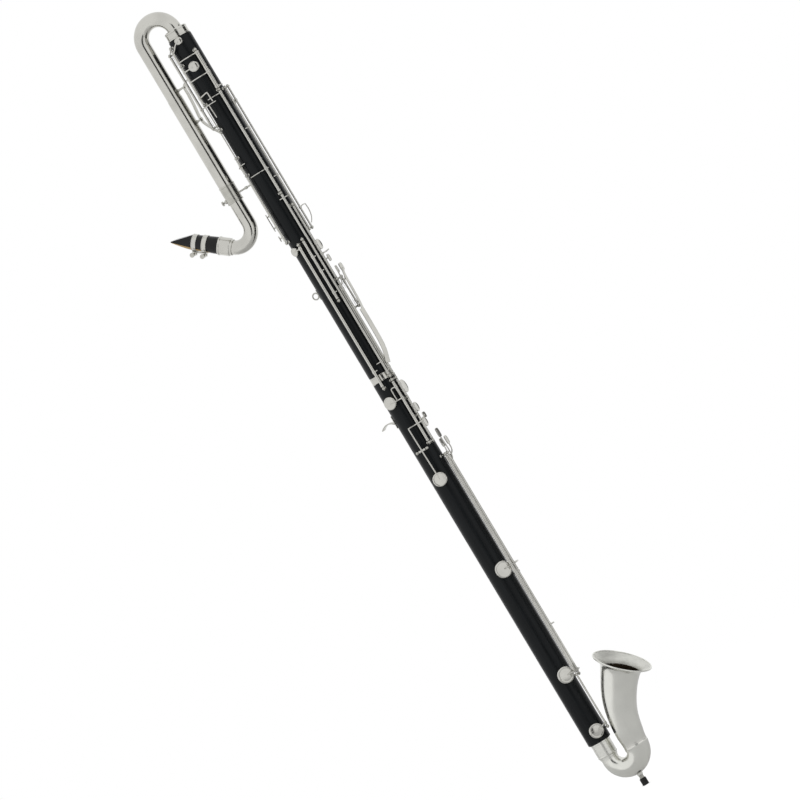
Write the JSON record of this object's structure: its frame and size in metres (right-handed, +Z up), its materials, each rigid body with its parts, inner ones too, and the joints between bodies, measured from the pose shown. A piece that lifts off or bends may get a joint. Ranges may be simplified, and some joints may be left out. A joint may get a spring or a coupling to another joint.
{
  "type": "contrabass clarinet",
  "caption": "Contrabass clarinet: straight black two-joint body with a folded metal neck, crook and mouthpiece, silver keywork, metal bow with an upturned bell and a short floor peg.",
  "frame": {"origin": "middle of the flat bottom of the floor peg's rubber foot", "axes": "+Z up along the body, +X to the front where the bell opens, +Y to the player's left"},
  "size_m": [0.4405, 0.131, 1.9717],
  "materials": {
    "black_body": "satin black resin, slightly blue-green",
    "ebonite": "polished black ebonite",
    "silver": "polished silver plate",
    "nickel": "polished nickel silver",
    "rubber": "matt black rubber",
    "cork": "natural cork",
    "cane": "bare cane"
  },
  "bodies": {
    "body": {"upper_joint": "black_body", "lower_joint": "black_body", "neck_socket": "silver", "tenon_ring": "silver", "tenon_cork": "cork", "bell_tenon_cork": "cork", "bell_ferrule": "silver", "neck_bow": "silver", "neck_sleeve": "silver", "neck_receiver": "nickel", "neck_brace": "nickel", "body_bumper": "nickel", "bell_bow": "silver", "bell": "silver", "peg_socket": "silver", "strap_ring": "nickel", "thumb_hook": "nickel", "left_posts": "nickel", "main_posts": "nickel", "side_posts": "nickel", "front_posts": "nickel", "back_posts": "nickel", "bridge_posts": "nickel", "right_hand_posts": "nickel", "low_posts": "nickel", "fork_posts": "nickel"},
    "crook": {"crook": "silver", "mouthpiece_receiver": "silver", "mouthpiece": "ebonite", "mouthpiece_cork": "cork", "reed": "cane", "ligature": "silver"},
    "neck_clamp_screw": {"neck_clamp_screw": "nickel"},
    "ligature_screw_1": {"ligature_screw_1": "nickel"},
    "ligature_screw_2": {"ligature_screw_2": "nickel"},
    "peg": {"peg_rod": "nickel", "peg_tip": "rubber"},
    "upper_vent_key": {"upper_vent_key": "silver"},
    "lower_vent_key": {"lower_vent_key": "silver"},
    "thumb_octave_lever": {"thumb_octave_lever": "silver"},
    "octave_rocker": {"octave_rocker": "silver"},
    "register_link": {"register_link": "silver"},
    "side_trill_key": {"side_trill_key": "silver"},
    "throat_key": {"throat_key": "silver"},
    "left_side_vent_key": {"left_side_vent_key": "silver"},
    "thumb_key": {"thumb_key": "silver"},
    "back_cup_key": {"back_cup_key": "silver"},
    "bridge_key": {"bridge_key": "silver"},
    "main_stack_key": {"main_stack_key": "silver"},
    "left_plate_key": {"left_plate_key": "silver"},
    "left_lever_inner": {"left_lever_inner": "silver"},
    "left_lever_outer": {"left_lever_outer": "silver"},
    "right_plate_1": {"right_plate_1": "silver"},
    "right_plate_2": {"right_plate_2": "silver"},
    "right_plate_3": {"right_plate_3": "silver"},
    "low_g_key": {"low_g_key": "silver"},
    "fork_key": {"fork_key": "silver"},
    "low_key_upper": {"low_key_upper": "silver"},
    "low_key_middle": {"low_key_middle": "silver"},
    "low_key_lower": {"low_key_lower": "silver"}
  },
  "joints": [
    {"name": "upper_vent_key_hinge", "type": "hinge", "parent": "body", "child": "upper_vent_key", "pos_m": [-0.0618, -0.02719, 1.86692], "axis": [0, 0, -1], "range_deg": [0, 5], "stiffness_Nm_per_rad": 0.3, "springref_deg": -11.46},
    {"name": "lower_vent_key_hinge", "type": "hinge", "parent": "body", "child": "lower_vent_key", "pos_m": [-0.0618, -0.02719, 1.78473], "axis": [0, 0, -1], "range_deg": [0, 5], "stiffness_Nm_per_rad": 0.3, "springref_deg": -11.46},
    {"name": "thumb_octave_lever_hinge", "type": "hinge", "parent": "body", "child": "thumb_octave_lever", "pos_m": [-0.07477, -0.01975, 1.77701], "axis": [0, 0, -1], "range_deg": [0, 4], "stiffness_Nm_per_rad": 0.3, "springref_deg": -11.46},
    {"name": "octave_rocker_hinge", "type": "hinge", "parent": "body", "child": "octave_rocker", "pos_m": [-0.01533, -0.02353, 1.80151], "axis": [0, 0, 1], "range_deg": [0, 4], "stiffness_Nm_per_rad": 0.3, "springref_deg": -11.46},
    {"name": "register_link_hinge", "type": "hinge", "parent": "body", "child": "register_link", "pos_m": [-0.00681, -0.00717, 1.57276], "axis": [0, 0, 1], "range_deg": [0, 5], "stiffness_Nm_per_rad": 0.3, "springref_deg": -11.46},
    {"name": "side_trill_key_hinge", "type": "hinge", "parent": "body", "child": "side_trill_key", "pos_m": [-0.00433, 0.00445, 1.57276], "axis": [0, 0, -1], "range_deg": [0, 5], "stiffness_Nm_per_rad": 0.3, "springref_deg": -11.46},
    {"name": "throat_key_hinge", "type": "hinge", "parent": "body", "child": "throat_key", "pos_m": [-0.01533, -0.02353, 1.62266], "axis": [0, 0, 1], "range_deg": [0, 4], "stiffness_Nm_per_rad": 0.3, "springref_deg": -11.46},
    {"name": "left_side_vent_key_hinge", "type": "hinge", "parent": "body", "child": "left_side_vent_key", "pos_m": [-0.0618, -0.02719, 1.58352], "axis": [0, 0, 1], "range_deg": [0, 5], "stiffness_Nm_per_rad": 0.3, "springref_deg": -11.46},
    {"name": "thumb_key_hinge", "type": "hinge", "parent": "body", "child": "thumb_key", "pos_m": [-0.0618, -0.02719, 1.47818], "axis": [0, 0, 1], "range_deg": [0, 5], "stiffness_Nm_per_rad": 0.3, "springref_deg": -11.46},
    {"name": "back_cup_key_hinge", "type": "hinge", "parent": "body", "child": "back_cup_key", "pos_m": [-0.03815, -0.03442, 1.20136], "axis": [0, 0, 1], "range_deg": [0, 5], "stiffness_Nm_per_rad": 0.3, "springref_deg": -11.46},
    {"name": "bridge_key_hinge", "type": "hinge", "parent": "body", "child": "bridge_key", "pos_m": [-0.0249, -0.03074, 1.30726], "axis": [0, 0, -1], "range_deg": [0, 5], "stiffness_Nm_per_rad": 0.3, "springref_deg": -11.46},
    {"name": "main_stack_key_hinge", "type": "hinge", "parent": "body", "child": "main_stack_key", "pos_m": [-0.01533, -0.02353, 1.26485], "axis": [0, 0, -1], "range_deg": [0, 5], "stiffness_Nm_per_rad": 0.3, "springref_deg": -11.46},
    {"name": "left_plate_key_hinge", "type": "hinge", "parent": "body", "child": "left_plate_key", "pos_m": [-0.00929, -0.01458, 1.36587], "axis": [0, 0, 1], "range_deg": [0, 5], "stiffness_Nm_per_rad": 0.3, "springref_deg": -11.46},
    {"name": "left_lever_inner_hinge", "type": "hinge", "parent": "body", "child": "left_lever_inner", "pos_m": [-0.00929, -0.01458, 1.1704], "axis": [0, 0, -1], "range_deg": [0, 5], "stiffness_Nm_per_rad": 0.3, "springref_deg": -11.46},
    {"name": "left_lever_outer_hinge", "type": "hinge", "parent": "body", "child": "left_lever_outer", "pos_m": [-0.00433, 0.00445, 1.18161], "axis": [0, 0, 1], "range_deg": [0, 5], "stiffness_Nm_per_rad": 0.3, "springref_deg": -11.46},
    {"name": "right_plate_1_hinge", "type": "hinge", "parent": "body", "child": "right_plate_1", "pos_m": [-0.00929, -0.01458, 1.00243], "axis": [0, 0, 1], "range_deg": [0, 5], "stiffness_Nm_per_rad": 0.3, "springref_deg": -11.46},
    {"name": "right_plate_2_hinge", "type": "hinge", "parent": "body", "child": "right_plate_2", "pos_m": [-0.00929, -0.01458, 0.95624], "axis": [0, 0, 1], "range_deg": [0, 5], "stiffness_Nm_per_rad": 0.3, "springref_deg": -11.46},
    {"name": "right_plate_3_hinge", "type": "hinge", "parent": "body", "child": "right_plate_3", "pos_m": [-0.00929, -0.01458, 0.90247], "axis": [0, 0, 1], "range_deg": [0, 5], "stiffness_Nm_per_rad": 0.3, "springref_deg": -11.46},
    {"name": "low_g_key_hinge", "type": "hinge", "parent": "body", "child": "low_g_key", "pos_m": [-0.01616, -0.0244, 0.94866], "axis": [0, 0, 1], "range_deg": [0, 5], "stiffness_Nm_per_rad": 0.3, "springref_deg": -11.46},
    {"name": "fork_key_hinge", "type": "hinge", "parent": "body", "child": "fork_key", "pos_m": [-0.03516, -0.0361, 0.86245], "axis": [-0.989, -0.1478, 0], "range_deg": [0, 3], "stiffness_Nm_per_rad": 0.3, "springref_deg": -11.46},
    {"name": "low_key_upper_hinge", "type": "hinge", "parent": "body", "child": "low_key_upper", "pos_m": [-0.00621, 0.01529, 0.70045], "axis": [0, 0, 1], "range_deg": [0, 2.5], "stiffness_Nm_per_rad": 0.3, "springref_deg": -11.46},
    {"name": "low_key_middle_hinge", "type": "hinge", "parent": "body", "child": "low_key_middle", "pos_m": [-0.00317, 0.00393, 0.58082], "axis": [0, 0, 1], "range_deg": [0, 4], "stiffness_Nm_per_rad": 0.3, "springref_deg": -11.46},
    {"name": "low_key_lower_hinge", "type": "hinge", "parent": "body", "child": "low_key_lower", "pos_m": [-0.00182, -0.01487, 0.50201], "axis": [0, 0, 1], "range_deg": [0, 5], "stiffness_Nm_per_rad": 0.3, "springref_deg": -11.46},
    {"name": "crook_slide", "type": "slide", "parent": "body", "child": "crook", "axis": [0, 0, -1], "range_m": [0, 0.015]},
    {"name": "neck_clamp_screw_turn", "type": "hinge", "parent": "body", "child": "neck_clamp_screw", "pos_m": [-0.13966, 0, 1.5388], "axis": [1, 0, 0], "continuous": true},
    {"name": "ligature_screw_1_turn", "type": "hinge", "parent": "crook", "child": "ligature_screw_1", "pos_m": [-0.24836, 0, 1.46521], "axis": [0, 1, 0], "continuous": true},
    {"name": "ligature_screw_2_turn", "type": "hinge", "parent": "crook", "child": "ligature_screw_2", "pos_m": [-0.26717, 0, 1.47929], "axis": [0, 1, 0], "continuous": true},
    {"name": "peg_turn", "type": "hinge", "parent": "body", "child": "peg", "pos_m": [0, 0, 0.02], "axis": [0, 0, 1], "continuous": true}
  ],
  "couplings": [
    {"joint": "octave_rocker_hinge", "follows": "thumb_octave_lever_hinge", "ratio": 0.9},
    {"joint": "upper_vent_key_hinge", "follows": "thumb_octave_lever_hinge", "ratio": 1},
    {"joint": "low_g_key_hinge", "follows": "right_plate_1_hinge", "ratio": 0.9},
    {"joint": "bridge_key_hinge", "follows": "left_plate_key_hinge", "ratio": 0.9}
  ]
}
